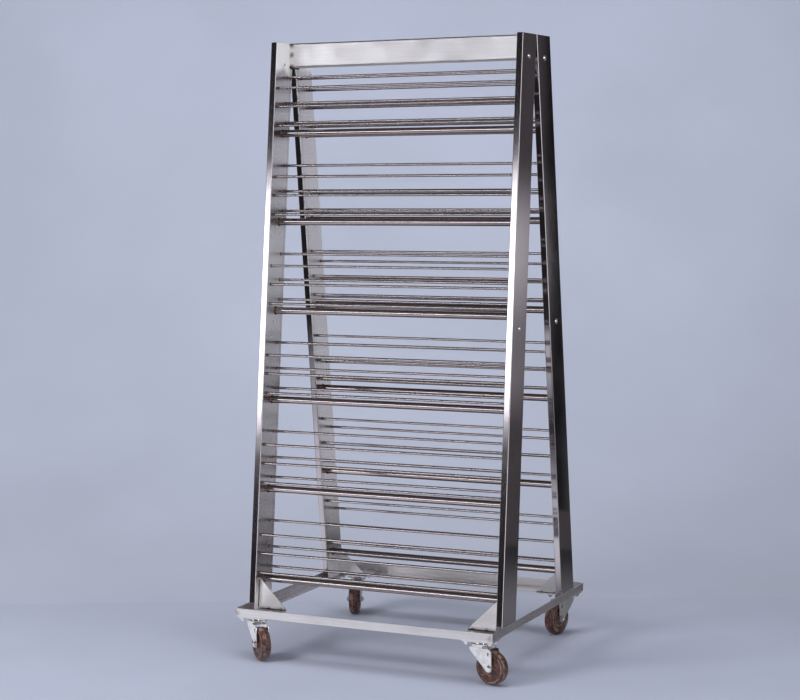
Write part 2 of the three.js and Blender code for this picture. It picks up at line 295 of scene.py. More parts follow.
def painted_shade_mask(n):
    """Painted shade along the top and the underside of rods and tubes, standing in for the dark
    reflections there: 0 to 1.
    """
    upward = n.split(n.coordinate("Normal"))[2]
    return n.math("MAXIMUM", n.ramp(upward, -0.2, -0.65), n.ramp(upward, 0.3, 0.8, 0.0, 0.8))


def end_tint(reach, strength):
    """Heat tint that fades in over the last few millimetres before the inner faces of the posts."""

    def mask(n, where):
        from_middle = n.math("ABSOLUTE", n.math("SUBTRACT", n.split(where)[0], MIDDLE_M.x))
        ragged_m = 0.006
        wobble = n.math("MULTIPLY_ADD", n.noise(where, 120.0, 2.0), ragged_m, from_middle)
        stop = POST_IN * MM + ragged_m / 2
        start = (POST_IN - reach) * MM + ragged_m / 2
        return n.times(n.ramp(wobble, start, stop), strength)

    return mask


def spot_tint(points, radius, strength):
    """Heat tint round a few weld points, given in millimetres from the rack's middle."""

    def mask(n, where):
        wobble = n.times(n.noise(where, 70.0, 3.0), radius * MM * 0.8)
        total = 0.0
        for point in points:
            distance = n.measure("DISTANCE", where, Vector(point) * MM + MIDDLE_M)
            near = n.ramp(n.math("ADD", distance, wobble), radius * MM * 1.4, radius * MM * 0.4)
            total = n.math("MAXIMUM", near, total)
        return n.times(total, strength)

    return mask


def ground_ends(n, shader):
    """Matte, paler areas on the posts' inner faces: where the beam and gusset welds were ground down,
    and a faint one at mid-height. Heights are in metres."""
    height = n.split(n.coordinate("UV"))[1]
    ragged = n.math("MULTIPLY_ADD", n.noise(n.coordinate(), 26.0, 3.0), 0.06, height)
    top = n.ramp(ragged, 1.80, 1.83)
    middle = n.times(n.ramp(ragged, 0.95, 1.1), n.ramp(ragged, 1.42, 1.25, 0.0, 0.35))
    foot = n.ramp(ragged, 0.26, 0.20, 0.0, 0.8)
    mask = n.math("MAXIMUM", n.math("MAXIMUM", top, middle), foot)
    color = shader.inputs["Base Color"].links[0].from_socket
    rough = shader.inputs["Roughness"].links[0].from_socket
    pale = n.mix(mask, color, rgb(0.97, 0.965, 0.98))
    rougher = n.math("MULTIPLY_ADD", mask, 0.25, rough)
    metal = n.math("SUBTRACT", 1.0, n.times(mask, 0.75))
    wire(n, shader, Base_Color=pale, Roughness=rougher, Metallic=metal)


def weld_material():
    """Weld bead: scaly, brown and dark with bare bright spots."""
    material, n, shader = new_material("weld_bead")
    where = n.coordinate()
    patches = n.noise(where, 230.0, 3.0, 0.6)
    lumps = n.noise(where, 700.0, 2.0, 0.6)
    dark = n.mix(n.ramp(patches, 0.38, 0.6), rgb(0.035, 0.018, 0.014), rgb(0.22, 0.10, 0.06))
    color = n.mix(n.ramp(lumps, 0.64, 0.74), dark, rgb(0.55, 0.47, 0.42))
    rough = n.over_noise(lumps, 0.5, 0.3)
    wire(n, shader, Base_Color=color, Metallic=0.9, Roughness=rough, Normal=n.bump(lumps, 0.6, 0.0008))
    return material


def zinc_material(name):
    """Bright zinc plate: cool, slightly cloudy, with tiny pits."""
    material, n, shader = new_material(name)
    where = n.coordinate()
    cloud = n.noise(where, 55.0, 4.0, 0.6)
    pits = n.noise(where, 900.0, 2.0, 0.7)
    color = n.mix(n.ramp(cloud, 0.3, 0.7), rgb(0.80, 0.79, 0.81), rgb(0.95, 0.94, 0.95))
    color = n.mix(n.ramp(pits, 0.70, 0.80, 0.0, 0.6), color, rgb(0.30, 0.27, 0.24))
    rough = n.over_noise(cloud, 0.28, 0.16)
    wire(n, shader, Base_Color=color, Metallic=1.0, Roughness=rough, Normal=n.bump(pits, 0.12, 0.0004))
    return material


def phenolic_material():
    """Moulded brown phenolic: mottled dark and reddish flakes, with pale rubbed streaks."""
    material, n, shader = new_material("phenolic")
    where = n.coordinate()
    flakes = n.add("TexVoronoi", {"Vector": where, "Scale": 260.0}).outputs["Color"]
    flake_value = n.add("SeparateColor", {0: flakes}).outputs[0]
    mottle = n.noise(where, 95.0, 5.0, 0.7, distortion=0.6)
    turned = n.noise(n.coordinate("UV"), 430.0, 2.0, 0.5)
    patches = n.noise(where, 48.0, 3.0, 0.6)
    rubbed = n.times(n.ramp(turned, 0.48, 0.62), n.ramp(patches, 0.42, 0.6))
    brown = n.mix(n.ramp(mottle, 0.4, 0.62), rgb(0.018, 0.009, 0.008), rgb(0.110, 0.044, 0.034))
    brown = n.mix(n.ramp(flake_value, 0.6, 0.95, 0.0, 0.6), brown, rgb(0.19, 0.09, 0.07))
    color = n.mix(n.times(rubbed, 0.6), brown, rgb(0.46, 0.34, 0.31))
    rough = n.over_noise(mottle, 0.42, 0.62)
    wire(n, shader, Base_Color=color, Roughness=rough, Normal=n.bump(mottle, 0.35, 0.0008))
    return material


def recess_shade_material():
    """Near-black painted shade with a faint mottle, for the hollows of sockets and slots."""
    material, n, shader = new_material("painted_recess_shade")
    shade_mottle = n.noise(n.coordinate(), 300.0, 3.0)
    color = n.mix(shade_mottle, rgb(0.012, 0.011, 0.010), rgb(0.05, 0.045, 0.04))
    wire(n, shader, Base_Color=color, Roughness=0.7, Normal=n.bump(shade_mottle, 0.3, 0.0005))
    return material


# Places of the welds whose heat tints the steel round them.
RAIL_WELDS = [(x * 415, y * 368, 140) for x in BOTH for y in BOTH]
BEAM_WELDS = [(x * 392, y * 28, z) for x in BOTH for y in BOTH for z in (1800, 1835, 1868)]
GUSSET_WELDS = [(x * far, y * 273, PLATE_TOP) for far in (362, 320) for x in BOTH for y in BOTH]

POST_STEEL = steel("post_polished", rgb(0.61, 0.572, 0.605), 0.07, "Y", brush=0.02, wave=0.04,
                   smudge=0.12, uv=True, contrast=0.6)
POST_INNER = steel("post_inner_mill", rgb(0.74, 0.72, 0.74), 0.26, "X", brush=0.12, wave=0.05,
                   smudge=0.3, uv=True, finish=ground_ends)
RAIL_X = steel("rail_brushed_x", rgb(0.95, 0.935, 0.95), 0.38, "X", brush=0.3, wave=0.03,
               tint=spot_tint(RAIL_WELDS, 16, 0.75))
RAIL_Y = steel("rail_brushed_y", rgb(0.76, 0.735, 0.77), 0.30, "Y", brush=0.3, wave=0.03,
               tint=spot_tint(RAIL_WELDS, 16, 0.75))
BEAM_STEEL = steel("beam_brushed", rgb(0.90, 0.885, 0.90), 0.40, "X", brush=0.3, wave=0.03,
                   tint=spot_tint(BEAM_WELDS, 13, 0.9))
GUSSET_STEEL = steel("gusset_satin", rgb(0.97, 0.96, 0.97), 0.44, "X", brush=0.2, wave=0.02,
                     tint=spot_tint(GUSSET_WELDS, 10, 0.7))
PLATE_STEEL = steel("plate_satin", rgb(0.80, 0.775, 0.80), 0.38, "Y", brush=0.25, wave=0.02,
                    smudge=0.25)
# Tubes and rods carry painted shade along their tops and undersides.
TUBE_STEEL = steel("tube_drawn", rgb(0.68, 0.605, 0.605), 0.14, "X", brush=0.012, smudge=0.15,
                   tint=end_tint(16, 0.85), contrast=0.5, painted_shade_share=0.6)
ROD_STEEL = steel("rod_drawn", rgb(0.77, 0.705, 0.71), 0.20, "X", brush=0.008, smudge=0.15,
                  tint=end_tint(12, 0.8), contrast=0.2, painted_shade_share=0.85)
BOLT_STEEL = zinc_material("bolt_steel")
ZINC = zinc_material("zinc_plate")
PHENOLIC = phenolic_material()
WELD = weld_material()
# Near-black painted shade for the hollows of sockets and slots.
RECESS_SHADE = recess_shade_material()


def link(item):
    scene.collection.objects.link(item)


# ---- Mesh helpers: a shape is (vertices in millimetres, faces as index lists, material index) ----
def merged(*shapes):
    vertices, faces, slots = [], [], []
    for shape in shapes:
        start = len(vertices)
        vertices += shape[0]
        faces += [[start + i for i in face] for face in shape[1]]
        slots += shape[2] if isinstance(shape[2], list) else [shape[2]] * len(shape[1])
    return vertices, faces, slots


def moved(shape, matrix):
    return [matrix @ Vector(v) for v in shape[0]], shape[1], shape[2]


def skinned(rings, slot=0, closed=False):
    """Skins a list of equal rings of points, with capped ends unless it closes on itself."""
    count = len(rings[0])
    vertices = [Vector(point) for ring in rings for point in ring]
    faces = []
    spans = len(rings) if closed else len(rings) - 1
    for k in range(spans):
        a, b = k * count, ((k + 1) % len(rings)) * count
        for i in range(count):
            j = (i + 1) % count
            faces.append([a + i, a + j, b + j, b + i])
    if not closed:
        faces.append(list(range(count))[::-1])
        faces.append([(len(rings) - 1) * count + i for i in range(count)])
    return vertices, faces, slot


def circle(radius, count, phase=0.0):
    step = 2 * math.pi / count
    angles = [i * step + phase for i in range(count)]
    return [(radius * math.cos(a), radius * math.sin(a)) for a in angles]


def hexagon(size):
    return circle(size, 6, math.pi / 6)


def rounded(points, radii, segments):
    """A closed outline with each corner rounded by its own radius, or all by one."""
    out = []
    count = len(points)
    for i, point in enumerate(points):
        here = Vector(point)
        radius = radii[i] if isinstance(radii, list) else radii
        if radius <= 0:
            out.append(here)
            continue
        before = (Vector(points[i - 1]) - here).normalized()
        after = (Vector(points[(i + 1) % count]) - here).normalized()
        half = before.angle(after) / 2
        reach = radius / math.tan(half)
        centre = here + (before + after).normalized() * (radius / math.sin(half))
        start = here + before * reach - centre
        turn = start.angle_signed(here + after * reach - centre)
        for k in range(segments + 1):
            out.append(centre + Matrix.Rotation(-turn * k / segments, 2) @ start)
    return out


def inset_outline(outline, amount):
    """The outline moved inwards along its own edge normals."""
    points = [Vector((p[0], p[1])) for p in outline]
    area = sum(a.x * b.y - b.x * a.y for a, b in zip(points, points[1:] + points[:1]))
    sign = 1 if area > 0 else -1
    sharpest = 0.35
    out = []
    for i, here in enumerate(points):
        before = (here - points[i - 1]).normalized()
        after = (points[(i + 1) % len(points)] - here).normalized()
        normal = Vector((-(before.y + after.y), before.x + after.x))
        if normal.length < 1e-6:
            normal = Vector((-before.y, before.x))
        normal.normalize()
        cosine = max(sharpest, normal.dot(Vector((-before.y, before.x))))
        out.append(here + normal * (sign * amount / cosine))
    return out


def prism(outline, low, high, to_point, chamfer=0.0, slot=0):
    """Extrudes an outline between two levels; to_point(u, v, level) gives the place. The two rims may
    be chamfered by pulling the outline in."""
    if chamfer:
        small = inset_outline(outline, chamfer)
        levels = [(small, low), (outline, low + chamfer), (outline, high - chamfer), (small, high)]
    else:
        levels = [(outline, low), (outline, high)]
    rings = [[to_point(p[0], p[1], level) for p in ring] for ring, level in levels]
    return skinned(rings, slot)


def along_z(x=0.0, y=0.0):
    return lambda u, v, level: (x + u, y + v, level)


def rectangle(u0, v0, u1, v1):
    return [(u0, v0), (u1, v0), (u1, v1), (u0, v1)]


def lathe(profile, count):
    """Turns a closed profile of (radius, height) round Z, which makes a ring with a bore."""
    rings = [[(r * c, r * s, h) for r, h in profile] for c, s in circle(1.0, count)]
    return skinned(rings, closed=True)


def solid_lathe(profile, count, slot=0):
    """Turns a profile that starts and ends on the axis, with its two ends closed by one point each."""
    body = profile[1:-1]
    turns = circle(1.0, count)
    vertices = [Vector((r * c, r * s, h)) for r, h in body for c, s in turns]
    faces = []
    for k in range(len(body) - 1):
        for i in range(count):
            j = (i + 1) % count
            faces.append([k * count + i, k * count + j, (k + 1) * count + j, (k + 1) * count + i])
    first, last = len(vertices), len(vertices) + 1
    vertices += [Vector((0, 0, profile[0][1])), Vector((0, 0, profile[-1][1]))]
    top = (len(body) - 1) * count
    for i in range(count):
        j = (i + 1) % count
        faces.append([first, j, i])
        faces.append([last, top + i, top + j])
    return vertices, faces, slot


def disc(radius, start, stop, count=28, slot=0):
    return solid_lathe([(0, start), (radius, start), (radius, stop), (0, stop)], count, slot)


def hex_nut(radius, low, high, x=0.0, y=0.0, slot=0):
    return prism(hexagon(radius), low, high, along_z(x, y), min(0.8, (high - low) / 4), slot)


def rod_along_x(radius, half, y, z):
    return prism(circle(radius, 20), -half, half, lambda u, v, level: (level, y + u, z + v), 0.5)


def tube_along_x(outer, inner, x0, x1, y, z):
    sections = ((x0, outer), (x1, outer), (x1, inner), (x0, inner))
    rings = [[(x, y + u, z + v) for u, v in circle(radius, 40)] for x, radius in sections]
    return skinned(rings, closed=True)


BEAD_SIDES = 8
BEAD_STEP = 1.6
BEAD_LUMPS = 0.28
BEAD_END = 0.45


def bead(path, radius, seed):
    """A lumpy weld bead along a path of points, with tapered ends."""
    points = []
    for a, b in zip(path, path[1:]):
        a, b = Vector(a), Vector(b)
        count = max(1, round((b - a).length / BEAD_STEP))
        points += [a.lerp(b, k / count) for k in range(count)]
    points.append(Vector(path[-1]))
    rings = []
    for k, point in enumerate(points):
        before, after = points[max(0, k - 1)], points[min(len(points) - 1, k + 1)]
        along = (after - before).normalized()
        side = along.cross(Vector((0.3, 0.2, 1.0))).normalized()
        up = side.cross(along)
        lump = 1 + BEAD_LUMPS * noise.noise(point * 0.45 + Vector((seed, 0, 0)))
        if k in (0, len(points) - 1):
            lump *= BEAD_END
        rings.append([point + (side * u + up * v) * radius * lump for u, v in circle(1.0, BEAD_SIDES)])
    return skinned(rings)


def collar_along_x(radius, x, y, z, size, seed, towards, count):
    """A fillet of weld round a rod or tube, standing off a wall at x."""
    inner = radius - 0.2
    rings = []
    for c, s in circle(1.0, count):
        grow = size * (1 + 0.35 * noise.noise(Vector((seed, c * 1.7, s * 1.7))))
        bulge = (radius + grow * 0.35, grow * 0.5)
        profile = ((inner, 0.0), (radius + grow, 0.0), bulge, (inner, grow))
        rings.append([(x + towards * h, y + r * c, z + r * s) for r, h in profile])
    return skinned(rings, closed=True)


def orient(mesh):
    """Turns every face outwards."""
    work = bmesh.new()
    work.from_mesh(mesh)
    bmesh.ops.recalc_face_normals(work, faces=work.faces)
    work.to_mesh(mesh)
    work.free()


def make(name, shape, materials, replaces=(), body="rack", sharp=32, weighted=True, uv=None):
    """Makes one piece from a shape, hangs it on its CAD body and hides the CAD nodes it stands for."""
    vertices, faces, slots = merged(shape)
    mesh = bpy.data.meshes.new(name)
    mesh.from_pydata([Vector(v) * MM + MIDDLE_M for v in vertices], [], faces)
    for material in materials:
        mesh.materials.append(material)
    mesh.polygons.foreach_set("material_index", slots)
    mesh.validate()
    orient(mesh)
    if uv is not None:
        layer = mesh.uv_layers.new(name="surface")
        for loop in mesh.loops:
            layer.data[loop.index].uv = uv(local(mesh.vertices[loop.vertex_index].co))
    mesh.shade_smooth()
    mesh.set_sharp_from_angle(angle=math.radians(sharp))
    piece = bpy.data.objects.new(name, mesh)
    link(piece)
    if weighted:
        modifier = piece.modifiers.new("flat_faces", "WEIGHTED_NORMAL")
        modifier.keep_sharp = True
        modifier.weight = 100
    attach(piece, body)
    if replaces:
        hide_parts(*replaces)


def make_weld(name, shape):
    make(name, shape, [WELD], sharp=60)


# ---- Posts ----
def post_uv(point):
    """Across the post's depth and width, and up its height, in metres."""
    inset = outer_edge(point.z) - abs(point.y)
    return ((inset + abs(point.x)) * MM, point.z * MM)


def post(name, end, side):
    outline = rounded(rectangle(0, 0, POST_OUT - POST_IN, POST_DEPTH), POST_CORNER, 6)

    def to_point(u, v, level):
        return (end * (POST_IN + u), side * (outer_edge(level) - v), level)

    vertices, faces, _ = prism(outline, POST_FOOT, POST_TOP, to_point, 0.8)
    slots = []
    for face in faces:
        inner = all(abs(abs(vertices[i].x) - POST_IN) < 0.4 for i in face)
        slots.append(1 if inner else 0)
    make("post_shell_" + name, (vertices, faces, slots), [POST_STEEL, POST_INNER],
         ["post_" + name], uv=post_uv)
    make("post_seam_" + name, post_seam(end, side), [WELD])
    for word, z in CLAMP_BOLT_Z:
        # The bolts' hexagon sockets get painted shade.
        make(f"clamp_bolt_{word}_{name}", clamp_bolt(end, side, z), [BOLT_STEEL, RECESS_SHADE])


def post_seam(end, side):
    """The thin closed seam that runs up the inner face near the post's inner edge."""
    wall = end * (POST_IN - OFF_WALL)
    proud, sunk = wall - end * 0.12, wall + end * 0.3
    rings = []
    for z in (POST_FOOT + 2, POST_TOP - 82):
        y = side * (outer_edge(z) - (POST_DEPTH - SEAM_INSET))
        near, far = y - SEAM_HALF_WIDTH, y + SEAM_HALF_WIDTH
        rings.append([(proud, near, z), (proud, far, z), (sunk, far, z), (sunk, near, z)])
    return skinned(rings)


def clamp_bolt(end, side, z):
    """Domed screw head with a washer and a hexagon socket outside, and a plain end inside."""
    y = side * (outer_edge(z) - POST_DEPTH / 2)
    washer = solid_lathe([(0, 0.0), (8.0, 0.0), (8.4, 0.3), (8.0, 0.8), (0, 0.8)], 32)
    head = [(2.2, 1.6), (2.2, 3.1), (3.0, 3.1), (4.6, 2.7), (5.9, 1.9), (6.6, 0.8), (2.2, 0.7)]
    dome = lathe(head, 32)
    # The socket is near-black painted shade (material slot 1).
    socket = disc(2.15, 0.9, 1.5, 6, 1)
    outside = Matrix.Translation((end * POST_OUT, y, z)) @ Matrix.Rotation(end * math.pi / 2, 4, "Y")
    shank = solid_lathe([(0, 0.0), (5.0, 0.0), (5.0, 0.9), (3.6, 1.4), (0, 1.4)], 6)
    inside = Matrix.Translation((end * POST_IN, y, z)) @ Matrix.Rotation(-end * math.pi / 2, 4, "Y")
    return merged(*[moved(shape, outside) for shape in (washer, dome, socket)], moved(shank, inside))


# ---- Beam and base ----
def beam():
    low, high = BEAM_LOW, BEAM_HIGH
    outline = rounded(rectangle(low.y, low.z, high.y, high.z), BEAM_CORNER, 7)
    inner = inset_outline(outline, BEAM_WALL)
    sections = ((low.x, outline), (high.x, outline), (high.x, inner), (low.x, inner))
    rings = [[(x, p[0], p[1]) for p in ring] for x, ring in sections]
    make("top_beam_tube", skinned(rings, closed=True), [BEAM_STEEL], ["top_beam"])
    for word, end in ENDS:
        path = [(end * (high.x - 2.0), p[0], p[1]) for p in inset_outline(outline, -0.6)]
        below_top = [p for p in path if p[2] < POST_TOP - 4.5]
        make_weld("beam_weld_" + word, bead(below_top, 3.2, end * 3.0))


def angle_profile(flange):
    """L section drawn with u inwards from the outer face and v up from the underside."""
    height = LEG_TOP - BASE_BOTTOM
    points = [(0, 0), (flange, 0), (flange, SHEET), (SHEET, SHEET), (SHEET, height), (0, height)]
    return rounded(points, [3.0, 0.6, 0.6, 0.5, 0.6, 0.6], 5)


def round_corner(shape):
    """Pulls points in so that the base's front left corner is rounded in plan."""
    cx, cy = -BASE_HALF_X + BASE_CORNER, -BASE_HALF_Y + BASE_CORNER
    out = []
    for vertex in shape[0]:
        point = Vector(vertex)
        dx, dy = cx - point.x, cy - point.y
        if dx > 0 and dy > 0:
            reach = max(dx, dy)
            length = math.hypot(dx, dy)
            point.x = cx - dx * reach / length
            point.y = cy - dy * reach / length
        out.append(point)
    return out, shape[1], shape[2]


def long_rail(word, side):
    """Front or rear angle rail, with sections close together where its left corner is rounded."""
    stations = [-BASE_HALF_X + s for s in (0, 0.5, 1.5, 2.5, 3.5, 4.5, 5.5, BASE_CORNER)]
    stations += [0.0, BASE_HALF_X - 0.5, BASE_HALF_X]
    outline = angle_profile(FLANGE_LONG)
    shrunk = inset_outline(outline, 0.5)
    rings = []
    for x in stations:
        ring = shrunk if abs(x) == BASE_HALF_X else outline
        rings.append([(x, side * (BASE_HALF_Y - p[0]), BASE_BOTTOM + p[1]) for p in ring])
    shape = skinned(rings)
    if side == FRONT:
        shape = round_corner(shape)
    make("rail_" + word, shape, [RAIL_X], ["base_rail_" + word])


def side_rail(word, end):
    """Angle rail whose flange stops where the long rails' flanges begin, while its leg runs on."""
    flange_half = BASE_HALF_Y - FLANGE_LONG - GAP
    leg = rectangle(0, SHEET + GAP, SHEET, LEG_TOP - BASE_BOTTOM)
    leg_outline = rounded(leg, [0, 0, 0.6, 0.6], 4)

    def to_point(u, v, level):
        return (end * (BASE_HALF_X - u), level, BASE_BOTTOM + v)

    middle = prism(angle_profile(FLANGE_SIDE), -flange_half, flange_half, to_point)
    near = prism(leg_outline, -SIDE_HALF_Y, -flange_half, to_point)
    far = prism(leg_outline, flange_half, SIDE_HALF_Y, to_point)
    shape = merged(middle, near, far)
    if end == LEFT:
        shape = round_corner(shape)
    make("rail_" + word, shape, [RAIL_Y], ["base_rail_" + word])


def reaches(low, high, sign):
    """The two ends of a span on one side of the rack's middle: the near one, then the far one."""
    near, far = sorted((abs(low), abs(high)))
    return sign * near, sign * far


def corner_plate(name, end, side):
    """Notched plate round the foot of a post, with the caster's four bolts through it."""
    low, high = local_box("corner_plate_" + name)
    x_in, x_out = reaches(low.x, high.x, end)
    y_in, y_out = reaches(low.y, high.y, side)
    z_low = PLATE_TOP - PLATE_THICK
    notch_x = end * (POST_IN - GAP)
    notch_y = side * (outer_edge(z_low) + GAP)
    points = [(x_in, y_in), (notch_x, y_in), (notch_x, notch_y), (x_out, notch_y), (x_out, y_out),
              (x_in, y_out)]
    outline = rounded(points, [6.0, 0.5, 0.5, 0.5, 3.0, 3.0], 4)
    shapes = [prism(outline, z_low, PLATE_TOP, along_z(), 0.5)]
    washer, nut = 1.2, 3.8
    for x, y in caster_bolts(name):
        shapes.append(moved(disc(9.0, 0, washer), Matrix.Translation((x, y, PLATE_TOP))))
        shapes.append(hex_nut(NUT_RADIUS, PLATE_TOP + washer, PLATE_TOP + washer + nut, x, y, 1))
    make("corner_plate_and_bolts_" + name, merged(*shapes), [PLATE_STEEL, BOLT_STEEL],
         ["corner_plate_" + name])


def gusset(name, end, side):
    low, high = local_box("gusset_" + name)
    x_toe, x_wall = reaches(low.x, high.x, end)
    points = [(x_wall, low.z), (x_toe, low.z), (x_wall, high.z)]
    outline = rounded(points, [0.6, 2.0, 2.0], 3)

    def to_point(u, v, level):
        return (u, side * (outer_edge(v) - level), v)

    shape = prism(outline, GUSSET_INSET, GUSSET_INSET + GUSSET_THICK, to_point, 0.5)
    make("gusset_plate_" + name, shape, [GUSSET_STEEL], ["gusset_" + name])
    make_weld("gusset_weld_" + name, gusset_welds(low, high, x_toe, x_wall, end, side))


def gusset_welds(low, high, x_toe, x_wall, end, side):
    """Beads along both sides of the gusset's foot, a tack at the foot and a bead up the post."""
    y_foot = side * (outer_edge(low.z) - GUSSET_INSET + 0.6)
    y_back = side * (outer_edge(low.z) - GUSSET_INSET - GUSSET_THICK - 0.6)
    beads = []
    for k, y in enumerate((y_foot, y_back)):
        foot = [(x_wall - end * 6, y, low.z + 0.5), (x_toe + end * 3, y, low.z + 0.5)]
        beads.append(bead(foot, 1.3, 5.0 + k + end))
    tack_x = x_wall - end * 37
    tack_half = 4.6 if end == LEFT else 3.2
    tack = [(tack_x - tack_half, y_foot, low.z + 1.2), (tack_x + tack_half, y_foot, low.z + 1.2)]
    beads.append(bead(tack, tack_half * 0.62, 9.0 + end))
    upright = []
    for z in (low.z + 3, high.z - 8):
        upright.append((x_wall - end * 0.8, side * (outer_edge(z) - GUSSET_INSET + 0.5), z))
    beads.append(bead(upright, 1.2, 7.0 + end))
    return merged(*beads)


def rail_weld(name, end, side):
    """Ground weld up the corner of the base, with a bead left along its inside."""
    x = end * (BASE_HALF_X - SHEET - 0.4)
    y = side * (BASE_HALF_Y - SHEET - 0.4)
    path = [(x, y, PLATE_TOP + 0.5), (x, y, LEG_TOP - 1.0)]
    make_weld("corner_weld_" + name, bead(path, 1.6, 11.0 + end + side * 2))


# ---- Shelves ----
ROD_PLACES = [(OUTER_ROD_INSET, rise) for rise in OUTER_ROD_RISE]
ROD_PLACES += [(INNER_ROD_INSET, rise) for rise in INNER_ROD_RISE]


def shelf(word, side, level):
    """One support tube, its six rods and the welds at all their ends."""
    low, high = local_box(f"shelf_tube_{word}_{level}")
    y, z = (low.y + high.y) / 2, (low.z + high.z) / 2
    radius = (high.z - low.z) / 2
    tube = tube_along_x(radius, radius - TUBE_WALL, low.x, high.x, y, z)
    make(f"support_tube_{word}_{level}", tube, [TUBE_STEEL],
         [f"shelf_tube_{word}_{level}"])
    rods, welds = [], []
    wall = POST_IN - OFF_WALL
    for k, (inset, rise) in enumerate(ROD_PLACES):
        rod_z = z + rise
        rod_y = side * (outer_edge(rod_z) - inset)
        rods.append(rod_along_x(ROD_RADIUS, POST_IN + 1.2, rod_y, rod_z))
        for end in BOTH:
            seed = level * 7.3 + k * 2.1 + side + end
            welds.append(collar_along_x(ROD_RADIUS, end * wall, rod_y, rod_z, 1.5, seed, -end, 16))
    make(f"guard_rods_{word}_{level}", merged(*rods), [ROD_STEEL],
         [f"shelf_rods_{word}_{level}"])
    for end in BOTH:
        welds.append(collar_along_x(radius, end * wall, y, z, 2.4, level * 3.1 + end, -end, 32))
    make_weld(f"shelf_welds_{word}_{level}", merged(*welds))


# ---- Casters ----
def swivel_centre(name):
    return local(joint("swivel_" + name)["pos_m"])


def caster_bolts(name):
    centre = swivel_centre(name)
    dx, dy = CASTER_BOLTS
    return [(centre.x + i * dx, centre.y + j * dy) for i in BOTH for j in BOTH]


def caster_top(name):
    """Fixed top plate with its raceway, and a washer, nut and domed bolt end at each corner."""
    low, high = local_box("caster_plate_" + name)
    centre = swivel_centre(name)
    under = high.z - CASTER_PLATE_THICK
    outline = rounded(rectangle(low.x, low.y, high.x, high.y), 6.0, 5)
    race = [(0, under), (31.0, under), (30.2, under - 1.6), (27.5, under - 3.4), (26.4, under - 5.6),
            (25.0, RACE_TOP + GAP), (0, RACE_TOP + GAP)]
    shapes = [
        prism(outline, under, high.z, along_z(), 0.6),
        moved(solid_lathe(race, 48), Matrix.Translation((centre.x, centre.y, 0))),
    ]
    washer, nut, dome_radius = 1.3, 5.3, 5.9
    angles = (0, 0.3, 0.6, 0.9, 1.2, 1.45)
    dome = [(0, 0)] + [(dome_radius * math.cos(a), -dome_radius * math.sin(a)) for a in angles]
    dome.append((0, -dome_radius))
    for x, y in caster_bolts(name):
        shapes.append(moved(disc(8.6, 0, -washer), Matrix.Translation((x, y, under))))
        shapes.append(hex_nut(NUT_RADIUS, under - washer - nut, under - washer, x, y, 1))
        tip = Matrix.Translation((x, y, under - washer - nut + 0.1))
        shapes.append(moved(solid_lathe(dome, 24, 1), tip))
    make("caster_top_" + name, merged(*shapes), [ZINC, BOLT_STEEL],
         ["caster_plate_" + name])


def fork_leg(trail, radius, sign):
    """Side plate of the fork: upright leading edge with a raised band, long slope on the swivel side,
    and a slot below the crown with painted shade in it, a flat painted-shade patch on the leg at -Y."""

    def to_point(u, v, level):
        return (u, level, v)

    def layer(outline, start, stop, chamfer, slot=0):
        low, high = sorted((sign * start, sign * stop))
        return prism(outline, low, high, to_point, chamfer, slot)

    top = CROWN_BOTTOM + FORK_SHEET
    points = [(FORK_BACK, top), (FORK_BACK, CROWN_BOTTOM - 8), (trail - 12, radius - 4),
              (trail - 7, radius - 10), (trail + 6, radius - 10), (trail + 11, radius - 4),
              (trail + 11, CROWN_BOTTOM - 4), (trail - 2, top)]
    leg = rounded(points, [0.5, 4.0, 3.0, 4.0, 5.0, 5.0, 6.0, 3.0], 5)
    band = rounded(rectangle(trail - 5, radius + 14, trail + 10.2, CROWN_BOTTOM - 9), 1.8, 4)
    slot_z = radius + 41
    slot = rounded(rectangle(trail - 2.4, slot_z - 5, trail + 2.4, slot_z + 5), 1.2, 4)
    band_face = FORK_OUTER + 0.9
    slot_depth, slot_proud = (0.4, 0.04) if sign > 0 else (0, 0)
    return merged(
        layer(leg, FORK_INNER, FORK_OUTER, 0.5),
        layer(band, FORK_OUTER, band_face, 0.42),
        # Slot 1 is painted shade: a shallow dark slot, and on the leg at -Y only a flat patch.
        layer(slot, band_face - slot_depth, band_face + slot_proud, 0, 1),
    )


def caster_fork(name, place, trail, radius):
    """Turning part: crown, raceway cup, kingpin nut and the two legs."""
    corners = rectangle(FORK_BACK, -FORK_OUTER, trail - 2, FORK_OUTER)
    crown = prism(rounded(corners, 2.0, 4), CROWN_BOTTOM, CROWN_BOTTOM + FORK_SHEET, along_z(), 0.6)
    cup = [(0, CROWN_BOTTOM + 2.5), (25.5, CROWN_BOTTOM + 2.5), (27.0, CROWN_BOTTOM + 4.5),
           (28.9, RACE_TOP - 3.6), (29.0, RACE_TOP - 1.4), (28.0, RACE_TOP), (0, RACE_TOP)]
    king = hex_nut(8.2, CROWN_BOTTOM - 7.5, CROWN_BOTTOM + 0.5, slot=2)
    legs = [fork_leg(trail, radius, sign) for sign in BOTH]
    shape = merged(crown, solid_lathe(cup, 48), king, *legs)
    make("caster_yoke_" + name, moved(shape, place), [ZINC, RECESS_SHADE, BOLT_STEEL],
         ["caster_fork_" + name], "fork_" + name)


def axle_frame(trail, radius):
    """The wheel's own frame in its caster, with Z along the axle."""
    return Matrix.Translation((trail, 0, radius)) @ Matrix.Rotation(-math.pi / 2, 4, "X")


